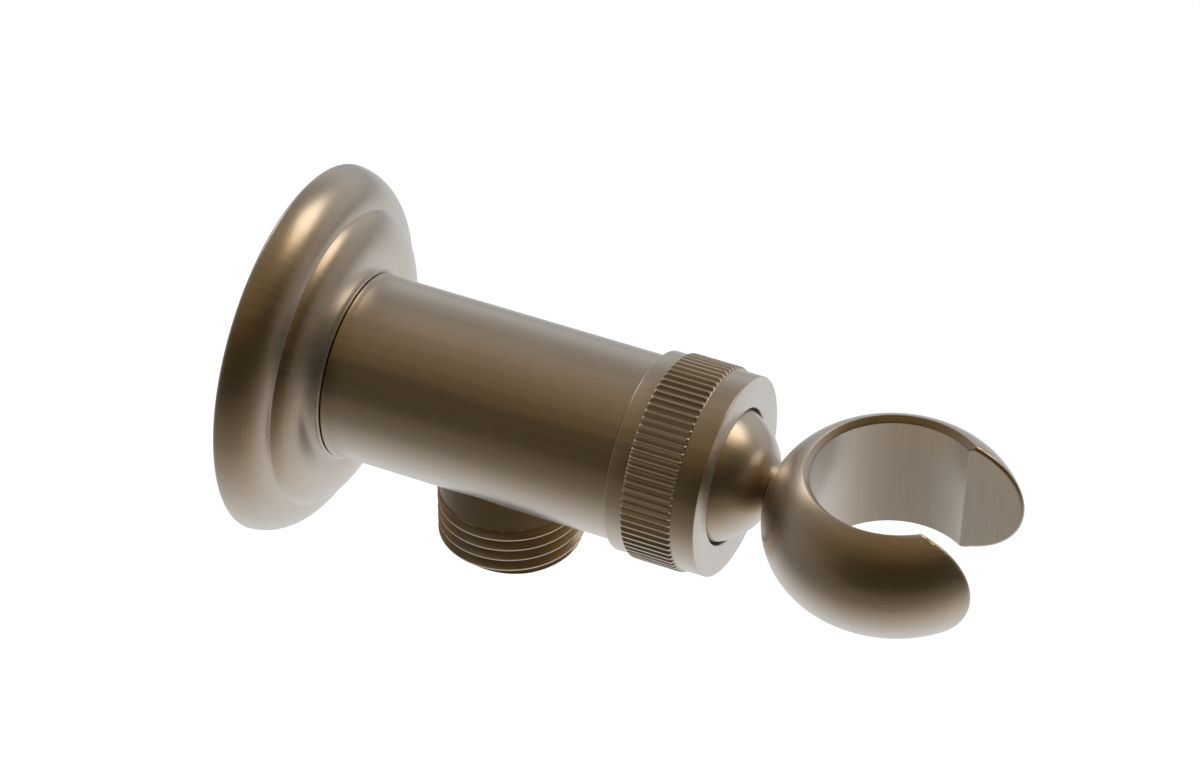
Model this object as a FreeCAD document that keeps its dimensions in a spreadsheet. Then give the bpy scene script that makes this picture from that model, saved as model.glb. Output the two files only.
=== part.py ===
import FreeCAD, Part
import math
import os
import Sketcher
from FreeCAD import Placement, Rotation, Vector

# Wall outlet and holder for a hand shower: a wall flange, a bar-turned body with a threaded
# hose outlet and a check valve below, and a slotted cup on a ball joint clamped by a knurled nut.
# Millimetres. The origin is the centre of the wall face, +Z is up, and the body runs along -Y.

SIZES = {
    # ball joint, which sets the socket, the thread and the nut around it
    "ball_radius": 10.1,
    "seat_clearance": 0.05,
    "seat_fit_clearance": 0.05,
    "front_ring_length": 2.85,
    "rear_seat_length": 5.0,
    "rear_seat_hole": 5.2,
    "thrust_washer_thickness": 0.4,
    "disc_spring_thickness": 0.4,
    "disc_spring_height": 1.0,
    "disc_spring_inner_radius": 5.6,
    "neck_length": 0.09,
    "neck_radius": 3.2,
    "neck_fillet": 2.5,
    "stud_radius": 2.5,
    "stud_chamfer": 0.4,
    "stud_clearance": 0.05,
    "stud_in_ball": 7.0,
    "stud_in_cup": 4.2,
    "stud_end_gap": 0.3,
    # body
    "body_length": 53.05,
    "body_shoulder": 1.2,
    "seam_gap": 0.2,
    "spigot_step": 1.0,
    "inlet_bore_radius": 9.316,
    "inlet_thread_length": 10.4,
    "inlet_relief": 0.3,
    "inlet_washer_inner_radius": 6.8,
    "inlet_washer_thickness": 1.6,
    "water_bore_radius": 6.0,
    "drill_point_length": 3.2,
    "socket_floor_thickness": 6.2,
    "socket_clearance": 0.35,
    "socket_wall": 1.55,
    "thread_length": 8.55,
    "thread_chamfer": 0.6,
    # wall flange, a turned rose: two beads and a cove that runs out flush with the body
    "flange_height": 9.6,
    "outer_bead_step": 5.45,
    "outer_bead_radius": 6.2,
    "valley_height": 5.6,
    "inner_bead_step": 8.0,
    "inner_bead_radius": 3.25,
    "inner_bead_height": 5.05,
    "flange_bore_clearance": 0.15,
    "rose_rim": 1.65,
    "gasket_width": 3.4,
    "gasket_thickness": 1.5,
    "rose_land": 2.1,
    "rose_recess_depth": 2.6,
    "grip_ring_section": 0.95,
    "grip_ring_distance": 5.2,
    # hose outlet, a G 1/2 nipple screwed into a spot face under the body
    "outlet_distance": 32.55,
    "outlet_radius": 10.478,
    "outlet_end": 21.2,
    "outlet_thread_length": 7.7,
    "outlet_neck_relief": 0.2,
    "outlet_chamfer": 0.7,
    "outlet_seat": 7.4,
    "spot_face_clearance": 0.12,
    "outlet_shoulder": 1.228,
    "outlet_stem_top": 2.6,
    "stem_clearance": 0.05,
    "stem_ring_section": 0.72,
    "stem_ring_depth": 5.0,
    "outlet_wall": 2.45,
    "cartridge_lip_height": 1.2,
    "cartridge_lip_width": 0.9,
    # check valve
    "cartridge_clearance": 0.08,
    "cartridge_wall": 1.77,
    "cartridge_top": 6.6,
    "valve_seat_land": 1.65,
    "valve_seat_thickness": 1.5,
    "cartridge_ring_section": 0.5,
    "cartridge_ring_depth": 10.6,
    "valve_flow_gap": 0.75,
    "valve_seal_thickness": 0.8,
    "poppet_rim": 0.2,
    "poppet_thickness": 1.1,
    "poppet_boss_radius": 2.0,
    "poppet_stem_radius": 1.1,
    "poppet_stem_overhang": 0.6,
    "guide_top": 16.4,
    "guide_thickness": 1.6,
    "guide_hole_radius": 0.85,
    "guide_hole_circle": 3.3,
    "guide_hole_count": 6,
    "stem_running_clearance": 0.08,
    "valve_spring_radius": 2.5,
    "valve_spring_wire": 0.28,
    "valve_spring_turns": 4,
    # knurled clamping nut
    "nut_shoulder_gap": 0.35,
    "nut_rear_band": 2.55,
    "knurl_length": 7.3,
    "nut_front_band": 3.4,
    "nut_side_wall": 2.19,
    "nut_edge_chamfer": 0.15,
    "knurl_height": 0.4,
    "knurl_depth": 0.45,
    "knurl_chamfer": 0.25,
    "knurl_crest_share": 0.3,
    "knurl_count": 80,
    "nut_thread_clearance": 0.06,
    "nut_hole_step": 0.48,
    "nut_front_wall": 0.9,
    # cup for the cone of the hose
    "neck_land_depth": 0.7,
    "neck_land_radius": 3.9,
    "cup_ring_radius": 8.0,
    "cup_section_radius": 10.0,
    "cup_base": 9.13,
    "cup_mouth": 8.2,
    "cup_mouth_radius": 11.62,
    "cup_throat_radius": 11.3,
    "mouth_chamfer": 0.8,
    "cup_slot_width": 19.0,
    "slot_edge_round": 0.35,
}

FULL_TURN = 360.0
QUARTER_TURN = 90.0
HALF_TURN = 180.0
CUT_MARGIN = 2.0
COIL_ARCS_PER_TURN = 6
POINT_TOLERANCE = 1e-3

doc = FreeCAD.newDocument("hand_shower_holder")
sheet = doc.addObject("Spreadsheet::Sheet", "Sizes")
for row, (alias, number) in enumerate(SIZES.items(), start=1):
    sheet.set("A%d" % row, alias)
    sheet.set("B%d" % row, str(number))
    sheet.setAlias("B%d" % row, alias)
doc.recompute()


class Size:
    """A length with the sheet formula that it comes from, so that a sketch can be bound to it."""

    def __init__(self, value, formula):
        self.value = value
        self.formula = formula

    def __add__(self, other):
        return Size(self.value + number(other), "(%s + %s)" % (self.formula, formula(other)))

    def __sub__(self, other):
        return Size(self.value - number(other), "(%s - %s)" % (self.formula, formula(other)))

    def __mul__(self, other):
        return Size(self.value * number(other), "(%s * %s)" % (self.formula, formula(other)))

    def __rmul__(self, other):
        return self * other

    def __truediv__(self, other):
        return Size(self.value / number(other), "(%s / %s)" % (self.formula, formula(other)))

    def __neg__(self):
        return Size(-self.value, "(-%s)" % self.formula)


def number(size):
    return size.value if isinstance(size, Size) else float(size)


def formula(size):
    return size.formula if isinstance(size, Size) else repr(float(size))


def size(alias):
    return Size(float(sheet.get(alias)), "Sizes.%s" % alias)


def leg(long_side, short_side):
    """The other leg of a right triangle, from its hypotenuse and one leg."""
    square = long_side * long_side - short_side * short_side
    return Size(math.sqrt(number(square)), "sqrt(%s)" % formula(square))


# Radii from the ball outwards
seat_sphere = size("ball_radius") + size("seat_clearance")
socket_radius = size("ball_radius") + size("socket_clearance")
seat_outer = socket_radius - size("seat_fit_clearance")
body_thread_radius = socket_radius + size("socket_wall")
body_radius = body_thread_radius + size("body_shoulder")
spigot_radius = body_radius - size("spigot_step")
nut_thread_radius = body_thread_radius + size("nut_thread_clearance")
nut_radius = nut_thread_radius + size("nut_side_wall")
nut_hole_radius = size("ball_radius") - size("nut_hole_step")
knurl_radius = nut_radius + size("knurl_height")
knurl_root_radius = knurl_radius - size("knurl_depth")
front_ring_radius = body_thread_radius - size("thread_chamfer")
stud_bore = size("stud_radius") + size("stud_clearance")

# Radii of the wall flange
inner_bead_reach = body_radius + size("inner_bead_step")
flange_base_radius = inner_bead_reach + size("outer_bead_step")
gasket_outer = flange_base_radius - size("rose_rim")
gasket_inner = gasket_outer - size("gasket_width")
rose_recess_radius = gasket_inner - size("rose_land")

# Radii of the hose outlet and its check valve
outlet_neck_radius = size("outlet_radius") - size("outlet_neck_relief")
outlet_stem_radius = size("outlet_radius") - size("outlet_shoulder")
cartridge_bore_radius = outlet_stem_radius - size("outlet_wall")
cartridge_lip_radius = cartridge_bore_radius - size("cartridge_lip_width")
cartridge_radius = cartridge_bore_radius - size("cartridge_clearance")
chamber_radius = cartridge_radius - size("cartridge_wall")
valve_seat_radius = chamber_radius - size("valve_seat_land")
valve_seal_radius = chamber_radius - size("valve_flow_gap")
poppet_radius = valve_seal_radius - size("poppet_rim")

# Places along the body's axis, measured from the wall
body_rear = size("flange_height") + size("seam_gap")
nut_rear = size("body_length") + size("nut_shoulder_gap")
knurl_start = nut_rear + size("nut_rear_band")
knurl_end = knurl_start + size("knurl_length")
nut_face = knurl_end + size("nut_front_band")
nut_shoulder = nut_face - size("nut_front_wall")
front_ring_start = nut_shoulder - size("front_ring_length")
body_thread_end = size("body_length") + size("thread_length")
ball_distance = nut_shoulder - leg(seat_sphere, nut_hole_radius)
rear_seat_start = ball_distance - seat_sphere
thrust_washer_start = rear_seat_start - size("thrust_washer_thickness")
socket_floor = thrust_washer_start - size("disc_spring_height")
water_bore_tip = socket_floor - size("socket_floor_thickness")
water_bore_end = water_bore_tip - size("drill_point_length")
inlet_depth = size("inlet_thread_length") + size("inlet_washer_thickness")
neck_end = ball_distance + size("ball_radius") + size("neck_length")
stud_start = neck_end - size("stud_in_ball")
stud_stop = neck_end + size("stud_in_cup")
cup_reach = size("cup_ring_radius") + size("cup_section_radius") - size("neck_land_depth")
cup_distance = neck_end + cup_reach

# Heights below the body's axis, at the hose outlet
outlet_thread_start = size("outlet_end") - size("outlet_thread_length")
cartridge_floor = size("outlet_end") - size("cartridge_lip_height")
valve_seat_face = size("cartridge_top") + size("valve_seat_thickness")
seal_face = valve_seat_face + size("valve_seal_thickness")
poppet_face = seal_face + size("poppet_thickness")
guide_bottom = size("guide_top") + size("guide_thickness")


def along_body():
    """The frame of the turned pieces on the main axis: local +Y runs away from the wall."""
    return Placement(Vector(0, 0, 0), Rotation(Vector(0, 0, 1), HALF_TURN)), None


def below_body():
    """The frame of the outlet's pieces: local +Z runs down from the body's axis."""
    return Placement(Vector(0, 0, 0), Rotation(Vector(1, 0, 0), HALF_TURN)), size("outlet_distance")


def at_cup():
    """The frame of the cup: local +Z is up and local +Y runs away from the wall."""
    return Placement(Vector(0, 0, 0), Rotation(Vector(0, 0, 1), HALF_TURN)), cup_distance


def new_body(label, frame):
    body = doc.addObject("PartDesign::Body", label)
    body.Label = label
    placement, distance = frame
    body.Placement = placement
    if distance is not None:
        body.setExpression(".Placement.Base.y", formula(-distance))
    return body


def new_sketch(body, plane, offset=None):
    """A sketch on one of the body's own origin planes, moved along the plane's normal."""
    sketch = body.newObject("Sketcher::SketchObject", body.Label + "_sketch")
    origin_plane = [part for part in body.Origin.OriginFeatures if part.Role == plane][0]
    sketch.AttachmentSupport = [(origin_plane, "")]
    sketch.MapMode = "FlatFace"
    if offset is not None:
        sketch.setExpression(".AttachmentOffset.Base.z", formula(offset))
    return sketch


def bind(sketch, constraint, value):
    index = sketch.addConstraint(constraint)
    if isinstance(value, Size):
        sketch.setExpression("Constraints[%d]" % index, value.formula)


def place_point(sketch, geometry, point, x, y):
    """Fixes a point at x, y from the sketch's origin, each bound to its formula."""
    for kind, axis, value in (("DistanceX", -2, x), ("DistanceY", -1, y)):
        if number(value) == 0.0:
            sketch.addConstraint(Sketcher.Constraint("PointOnObject", geometry, point, axis))
        elif number(value) > 0.0:
            bind(sketch, Sketcher.Constraint(kind, -1, 1, geometry, point, number(value)), value)
        else:
            back = -value
            bind(sketch, Sketcher.Constraint(kind, geometry, point, -1, 1, number(back)), back)


def arc_between(start, end, radius, left):
    """The short arc from start to end with its centre on the left or on the right."""
    chord = end - start
    rise = math.sqrt(radius * radius - chord.Length * chord.Length / 4)
    side = Vector(-chord.y, chord.x, 0).normalize()
    centre = start + chord / 2 + side * (rise if left else -rise)
    first, last = (start, end) if left else (end, start)
    angles = [math.atan2(point.y - centre.y, point.x - centre.x) for point in (first, last)]
    return Part.ArcOfCircle(Part.Circle(centre, Vector(0, 0, 1), radius), angles[0], angles[1])


def draw_outline(sketch, corners, arcs=None):
    """A closed outline through the corners. arcs gives the radius and the side of the centre
    (left or right of the way round) of the stretches that start at the corners named."""
    arcs = arcs or {}
    points = [Vector(number(x), number(y), 0) for x, y in corners]
    starts, ends = [], []
    for index, start in enumerate(points):
        end = points[(index + 1) % len(points)]
        if index in arcs:
            radius, side = arcs[index]
            left = side == "left"
            segment = sketch.addGeometry(arc_between(start, end, number(radius), left))
            bind(sketch, Sketcher.Constraint("Radius", segment, number(radius)), radius)
            starts.append((segment, 1 if left else 2))
            ends.append((segment, 2 if left else 1))
        else:
            segment = sketch.addGeometry(Part.LineSegment(start, end))
            starts.append((segment, 1))
            ends.append((segment, 2))
    for index, (x, y) in enumerate(corners):
        sketch.addConstraint(Sketcher.Constraint("Coincident", *ends[index - 1], *starts[index]))
        place_point(sketch, *starts[index], x, y)


def draw_circle(sketch, radius, x=0, y=0):
    centre = Vector(number(x), number(y), 0)
    circle = sketch.addGeometry(Part.Circle(centre, Vector(0, 0, 1), number(radius)))
    bind(sketch, Sketcher.Constraint("Radius", circle, number(radius)), radius)
    place_point(sketch, circle, 3, x, y)


def revolve(body, corners, arcs=None, axis="H_Axis"):
    """Turns an outline on the YZ plane about local Y (H_Axis) or about local Z (V_Axis)."""
    sketch = new_sketch(body, "YZ_Plane")
    draw_outline(sketch, corners, arcs)
    solid = body.newObject("PartDesign::Revolution", body.Label + "_turned")
    solid.Profile = sketch
    solid.ReferenceAxis = (sketch, [axis])
    solid.Angle = FULL_TURN
    body.Tip = solid
    return solid


def cut(body, sketch, depth, along_normal=False, both_ways=False):
    """A pocket that has to take material away."""
    doc.recompute()
    before = body.Shape.Volume
    pocket = body.newObject("PartDesign::Pocket", body.Label + "_cut")
    pocket.Profile = sketch
    pocket.Reversed = along_normal
    pocket.Midplane = both_ways
    pocket.setExpression("Length", formula(depth))
    body.Tip = pocket
    doc.recompute()
    if body.Shape.Volume >= before:
        raise ValueError("nothing was cut from " + body.Label)
    return pocket


def repeat_round(body, feature, axis_role, count):
    pattern = body.newObject("PartDesign::PolarPattern", body.Label + "_pattern")
    pattern.Originals = [feature]
    axis = [part for part in body.Origin.OriginFeatures if part.Role == axis_role][0]
    pattern.Axis = (axis, [""])
    pattern.Angle = FULL_TURN
    pattern.setExpression("Occurrences", formula(count))
    body.Tip = pattern
    return pattern


def turned_ring(label, frame, inner, outer, start, end, axis="H_Axis"):
    """A plain ring between two radii and two places along its axis."""
    corners = [(start, inner), (end, inner), (end, outer), (start, outer)]
    if axis == "V_Axis":
        corners = [(radius, place) for place, radius in corners]
    body = new_body(label, frame)
    revolve(body, corners, axis=axis)
    return body


def round_ring(label, radius, section, distance, height=None):
    """A round rubber ring, about the body's axis or, with a height, about the outlet's."""
    ring = doc.addObject("Part::Torus", label)
    ring.Label = label
    ring.setExpression("Radius1", formula(radius))
    ring.setExpression("Radius2", formula(section))
    if height is None:
        ring.Placement = Placement(Vector(0, 0, 0), Rotation(Vector(1, 0, 0), QUARTER_TURN))
    else:
        ring.setExpression(".Placement.Base.z", formula(-height))
    ring.setExpression(".Placement.Base.y", formula(-distance))
    return ring


def make_wall_flange():
    body = new_body("wall_flange", along_body())
    bead_centre = inner_bead_reach - size("inner_bead_radius")
    rise = size("flange_height") - size("inner_bead_height")
    drop = bead_centre - body_radius
    bead = size("inner_bead_radius")
    cove = (drop * drop + rise * rise - bead * bead) / (2 * (bead + drop))
    share = bead / (bead + cove)
    valley_radius = bead_centre + leg(bead, size("valley_height") - size("inner_bead_height"))
    blend_height = size("inner_bead_height") + share * rise
    blend_radius = bead_centre - share * (drop - cove)
    bore = spigot_radius + size("flange_bore_clearance")
    ring_half = size("grip_ring_section") + size("flange_bore_clearance")
    groove_radius = bore + size("grip_ring_section") + size("grip_ring_section")
    groove_start = size("grip_ring_distance") - ring_half
    groove_end = size("grip_ring_distance") + ring_half
    corners = [
        (0, flange_base_radius),
        (size("valley_height"), valley_radius),
        (blend_height, blend_radius),
        (size("flange_height"), body_radius),
        (size("flange_height"), bore),
        (groove_end, bore),
        (groove_end, groove_radius),
        (groove_start, groove_radius),
        (groove_start, bore),
        (size("rose_recess_depth"), bore),
        (size("rose_recess_depth"), rose_recess_radius),
        (0, rose_recess_radius),
        (0, gasket_inner),
        (size("gasket_thickness"), gasket_inner),
        (size("gasket_thickness"), gasket_outer),
        (0, gasket_outer),
    ]
    arcs = {
        0: (size("outer_bead_radius"), "right"),
        1: (size("inner_bead_radius"), "right"),
        2: (cove, "left"),
    }
    revolve(body, corners, arcs)
    turned_ring("wall_gasket", along_body(), gasket_inner, gasket_outer,
                0, size("gasket_thickness"))
    ring_radius = spigot_radius + size("grip_ring_section")
    round_ring("flange_grip_ring", ring_radius, size("grip_ring_section"),
               size("grip_ring_distance"))


def make_body():
    body = new_body("body", along_body())
    chamfered = body_thread_radius - size("thread_chamfer")
    inlet_relief_radius = size("inlet_bore_radius") + size("inlet_relief")
    corners = [
        (0, spigot_radius),
        (body_rear, spigot_radius),
        (body_rear, body_radius),
        (size("body_length"), body_radius),
        (size("body_length"), body_thread_radius),
        (body_thread_end - size("thread_chamfer"), body_thread_radius),
        (body_thread_end, chamfered),
        (body_thread_end, socket_radius),
        (socket_floor, socket_radius),
        (socket_floor, 0),
        (water_bore_tip, 0),
        (water_bore_end, size("water_bore_radius")),
        (inlet_depth, size("water_bore_radius")),
        (inlet_depth, inlet_relief_radius),
        (size("inlet_thread_length"), inlet_relief_radius),
        (size("inlet_thread_length"), size("inlet_bore_radius")),
        (0, size("inlet_bore_radius")),
    ]
    revolve(body, corners)
    spot_face = new_sketch(body, "XY_Plane", -size("outlet_seat"))
    draw_circle(spot_face, outlet_neck_radius + size("spot_face_clearance"),
                y=size("outlet_distance"))
    cut(body, spot_face, body_radius)
    cross_bore = new_sketch(body, "XY_Plane")
    draw_circle(cross_bore, outlet_stem_radius + size("stem_clearance"),
                y=size("outlet_distance"))
    cut(body, cross_bore, body_radius)
    turned_ring("inlet_washer", along_body(), size("inlet_washer_inner_radius"),
                inlet_relief_radius, size("inlet_thread_length"), inlet_depth)


def make_outlet():
    nipple = new_body("outlet_nipple", below_body())
    ring_radius = (outlet_stem_radius + size("stem_clearance")
                   - size("stem_ring_section"))
    groove_root = ring_radius - size("stem_ring_section")
    groove_half = size("stem_ring_section") + size("stem_clearance")
    groove_top = size("stem_ring_depth") - groove_half
    groove_bottom = size("stem_ring_depth") + groove_half
    corners = [
        (cartridge_bore_radius, size("outlet_stem_top")),
        (outlet_stem_radius, size("outlet_stem_top")),
        (outlet_stem_radius, groove_top),
        (groove_root, groove_top),
        (groove_root, groove_bottom),
        (outlet_stem_radius, groove_bottom),
        (outlet_stem_radius, size("outlet_seat")),
        (outlet_neck_radius, size("outlet_seat")),
        (outlet_neck_radius, outlet_thread_start),
        (size("outlet_radius"), outlet_thread_start),
        (size("outlet_radius"), size("outlet_end") - size("outlet_chamfer")),
        (size("outlet_radius") - size("outlet_chamfer"), size("outlet_end")),
        (cartridge_lip_radius, size("outlet_end")),
        (cartridge_lip_radius, cartridge_floor),
        (cartridge_bore_radius, cartridge_floor),
    ]
    revolve(nipple, corners, axis="V_Axis")
    round_ring("outlet_ring", ring_radius, size("stem_ring_section"), size("outlet_distance"),
               size("stem_ring_depth"))


def make_check_valve():
    housing = new_body("check_valve_housing", below_body())
    ring_radius = cartridge_bore_radius - size("cartridge_ring_section")
    groove_root = ring_radius - size("cartridge_ring_section")
    groove_top = size("cartridge_ring_depth") - size("cartridge_ring_section")
    groove_bottom = size("cartridge_ring_depth") + size("cartridge_ring_section")
    corners = [
        (valve_seat_radius, size("cartridge_top")),
        (cartridge_radius, size("cartridge_top")),
        (cartridge_radius, groove_top),
        (groove_root, groove_top),
        (groove_root, groove_bottom),
        (cartridge_radius, groove_bottom),
        (cartridge_radius, cartridge_floor),
        (chamber_radius, cartridge_floor),
        (chamber_radius, valve_seat_face),
        (valve_seat_radius, valve_seat_face),
    ]
    revolve(housing, corners, axis="V_Axis")
    round_ring("check_valve_ring", ring_radius, size("cartridge_ring_section"),
               size("outlet_distance"), size("cartridge_ring_depth"))
    turned_ring("check_valve_seal", below_body(), size("poppet_boss_radius"),
                valve_seal_radius, valve_seat_face, seal_face, axis="V_Axis")

    poppet = new_body("check_valve_poppet", below_body())
    stem_end = guide_bottom + size("poppet_stem_overhang")
    corners = [
        (0, valve_seat_face),
        (size("poppet_boss_radius"), valve_seat_face),
        (size("poppet_boss_radius"), seal_face),
        (poppet_radius, seal_face),
        (poppet_radius, poppet_face),
        (size("poppet_stem_radius"), poppet_face),
        (size("poppet_stem_radius"), stem_end),
        (0, stem_end),
    ]
    revolve(poppet, corners, axis="V_Axis")

    guide_bore = size("poppet_stem_radius") + size("stem_running_clearance")
    guide = turned_ring("check_valve_guide", below_body(), guide_bore, chamber_radius,
                        size("guide_top"), guide_bottom, axis="V_Axis")
    flow_hole = new_sketch(guide, "XY_Plane", guide_bottom)
    draw_circle(flow_hole, size("guide_hole_radius"), x=size("guide_hole_circle"))
    hole = cut(guide, flow_hole, size("guide_thickness"))
    repeat_round(guide, hole, "Z_Axis", size("guide_hole_count"))

    make_valve_spring()


def make_valve_spring():
    """A coil of round wire along short arcs, from the guide up to the poppet."""
    wire = number(size("valve_spring_wire"))
    radius = number(size("valve_spring_radius"))
    length = number(size("guide_top") - poppet_face) - 2 * wire
    turns = int(number(size("valve_spring_turns")))
    pitch = length / turns

    def coil_point(turn):
        angle = 2 * math.pi * turn
        return Vector(radius * math.cos(angle), radius * math.sin(angle), pitch * turn)

    steps = turns * COIL_ARCS_PER_TURN
    bends = []
    for step in range(steps):
        start, middle, end = [(step + part) / COIL_ARCS_PER_TURN for part in (0, 0.5, 1)]
        arc = Part.Arc(coil_point(start), coil_point(middle), coil_point(end))
        bends.append(arc.toShape())
    slope = Vector(0, 2 * math.pi * radius, pitch)
    section = Part.Face(Part.Wire([Part.makeCircle(wire, coil_point(0), slope)]))
    spring = doc.addObject("Part::Feature", "check_valve_spring")
    spring.Label = "check_valve_spring"
    spring.Shape = Part.Wire(bends).makePipe(section)
    rest = Vector(0, -number(size("outlet_distance")), wire - number(size("guide_top")))
    spring.Placement = Placement(rest, Rotation())


def make_nut():
    nut = new_body("knurled_nut", along_body())
    edge = size("nut_edge_chamfer")
    bevel = size("knurl_chamfer")
    rim = nut_radius - edge
    crest = knurl_radius - bevel
    pocket_radius = front_ring_radius + size("seat_fit_clearance")
    corners = [
        (nut_rear, nut_thread_radius),
        (nut_rear, rim),
        (nut_rear + edge, nut_radius),
        (knurl_start, nut_radius),
        (knurl_start, crest),
        (knurl_start + bevel, knurl_radius),
        (knurl_end - bevel, knurl_radius),
        (knurl_end, crest),
        (knurl_end, nut_radius),
        (nut_face - edge, nut_radius),
        (nut_face, rim),
        (nut_face, nut_hole_radius),
        (nut_shoulder, nut_hole_radius),
        (nut_shoulder, pocket_radius),
        (front_ring_start, pocket_radius),
        (front_ring_start, nut_thread_radius),
    ]
    revolve(nut, corners)
    pitch_width = knurl_radius * (2 * math.pi) / size("knurl_count")
    groove_half = pitch_width * (1 - number(size("knurl_crest_share"))) / 2
    depth = knurl_radius - knurl_root_radius
    groove_top = knurl_radius + depth
    groove = new_sketch(nut, "XZ_Plane", -knurl_start)
    draw_outline(groove, [
        (0, knurl_root_radius),
        (2 * groove_half, groove_top),
        (-(2 * groove_half), groove_top),
    ])
    tooth_space = cut(nut, groove, size("knurl_length"))
    repeat_round(nut, tooth_space, "Y_Axis", size("knurl_count"))


def make_ball_joint():
    outer = front_ring_radius
    centre = ball_distance
    ring = new_body("front_friction_ring", along_body())
    front_lip = leg(seat_sphere, nut_shoulder - centre)
    rear_lip = leg(seat_sphere, front_ring_start - centre)
    corners = [
        (front_ring_start, rear_lip),
        (nut_shoulder, front_lip),
        (nut_shoulder, outer),
        (front_ring_start, outer),
    ]
    revolve(ring, corners, {0: (seat_sphere, "right")})

    seat = new_body("rear_ball_seat", along_body())
    seat_end = rear_seat_start + size("rear_seat_length")
    corners = [
        (rear_seat_start, size("rear_seat_hole")),
        (centre - leg(seat_sphere, size("rear_seat_hole")), size("rear_seat_hole")),
        (seat_end, leg(seat_sphere, centre - seat_end)),
        (seat_end, seat_outer),
        (rear_seat_start, seat_outer),
    ]
    revolve(seat, corners, {1: (seat_sphere, "right")})
    turned_ring("thrust_washer", along_body(), size("rear_seat_hole"), seat_outer,
                thrust_washer_start, rear_seat_start)

    spring = new_body("disc_spring", along_body())
    inner = size("disc_spring_inner_radius")
    thickness = size("disc_spring_thickness")
    corners = [
        (socket_floor, seat_outer),
        (socket_floor + thickness, seat_outer),
        (thrust_washer_start, inner),
        (thrust_washer_start - thickness, inner),
    ]
    revolve(spring, corners)

    ball = new_body("ball_stem", along_body())
    reach = size("ball_radius") + size("neck_fillet")
    fillet_radius = size("neck_radius") + size("neck_fillet")
    fillet_offset = leg(reach, fillet_radius)
    share = size("ball_radius") / reach
    neck_rim = fillet_radius - leg(size("neck_fillet"), centre + fillet_offset - neck_end)
    corners = [
        (centre - size("ball_radius"), 0),
        (centre, size("ball_radius")),
        (centre + fillet_offset * share, fillet_radius * share),
        (neck_end, neck_rim),
        (neck_end, stud_bore),
        (stud_start, stud_bore),
        (stud_start, 0),
    ]
    arcs = {
        0: (size("ball_radius"), "right"),
        1: (size("ball_radius"), "right"),
        2: (size("neck_fillet"), "left"),
    }
    revolve(ball, corners, arcs)

    stud = new_body("joint_stud", along_body())
    tip = size("stud_radius") - size("stud_chamfer")
    first = stud_start + size("stud_end_gap")
    last = stud_stop
    corners = [
        (first, 0),
        (first, tip),
        (first + size("stud_chamfer"), size("stud_radius")),
        (last - size("stud_chamfer"), size("stud_radius")),
        (last, tip),
        (last, 0),
    ]
    revolve(stud, corners)


def slot_edges(shape, half_width):
    """The names of the edges in the two side faces of the slot."""
    names = []
    for index, edge in enumerate(shape.Edges, start=1):
        places = [edge.valueAt(edge.FirstParameter + share * (edge.LastParameter
                  - edge.FirstParameter)) for share in (0.0, 0.5, 1.0)]
        if all(abs(abs(place.x) - half_width) < POINT_TOLERANCE for place in places):
            names.append("Edge%d" % index)
    return names


def make_cup():
    cup = new_body("holder_cup", at_cup())
    ring = size("cup_ring_radius")
    section = size("cup_section_radius")
    lip_radius = size("cup_mouth_radius") + size("mouth_chamfer")
    lip_height = leg(section, lip_radius - ring)
    base_radius = ring + leg(section, size("cup_base"))
    widest = ring + section
    corners = [
        (size("cup_throat_radius"), -size("cup_base")),
        (base_radius, -size("cup_base")),
        (widest, 0),
        (lip_radius, lip_height),
        (size("cup_mouth_radius"), size("cup_mouth")),
    ]
    revolve(cup, corners, {1: (section, "left"), 2: (section, "left")}, axis="V_Axis")
    slot = new_sketch(cup, "XY_Plane")
    half = size("cup_slot_width") / 2
    reach = widest + CUT_MARGIN
    draw_outline(slot, [(-half, 0), (half, 0), (half, reach), (-half, reach)])
    open_ring = cut(cup, slot, 2 * widest, both_ways=True)
    rounding = cup.newObject("PartDesign::Fillet", "holder_cup_rounding")
    rounding.Base = (open_ring, slot_edges(open_ring.Shape, number(half)))
    rounding.setExpression("Radius", formula(size("slot_edge_round")))
    cup.Tip = rounding
    land = new_sketch(cup, "XZ_Plane", cup_distance - neck_end)
    draw_circle(land, size("neck_land_radius"))
    cut(cup, land, size("neck_land_radius"), along_normal=True)
    stud_hole = new_sketch(cup, "XZ_Plane", cup_distance - neck_end)
    draw_circle(stud_hole, stud_bore)
    cut(cup, stud_hole, size("stud_in_cup") + size("stud_end_gap"))


make_wall_flange()
make_body()
make_outlet()
make_check_valve()
make_nut()
make_ball_joint()
make_cup()
doc.recompute()

for item in doc.Objects:
    if "Invalid" in item.State or "Error" in item.State:
        raise ValueError("%s did not build: %s" % (item.Label, item.State))

os.makedirs("parts", exist_ok=True)
pieces = [item for item in doc.Objects
          if item.TypeId in ("PartDesign::Body", "Part::Torus", "Part::Feature")]
for piece in pieces:
    if piece.Shape.isNull() or not piece.Shape.isValid() or piece.Shape.Volume <= 0:
        raise ValueError("%s has no sound shape" % piece.Label)
for piece in pieces:
    piece.Shape.exportStep("parts/%s.step" % piece.Label)
print("wrote", len(pieces), "pieces")
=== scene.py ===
import math

import bmesh
import bpy
from mathutils import Matrix, Vector


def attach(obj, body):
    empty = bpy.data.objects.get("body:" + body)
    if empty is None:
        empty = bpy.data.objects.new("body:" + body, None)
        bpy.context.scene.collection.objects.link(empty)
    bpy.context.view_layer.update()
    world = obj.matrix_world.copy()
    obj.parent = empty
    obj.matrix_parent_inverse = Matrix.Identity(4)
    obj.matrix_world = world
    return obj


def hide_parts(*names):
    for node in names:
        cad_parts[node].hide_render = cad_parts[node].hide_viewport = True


# A wall outlet with a shower cup on a ball joint, in brushed warm bronze, on white. Sizes are
# in millimetres, along the body from the wall, and become metres when a piece is finished.

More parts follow.
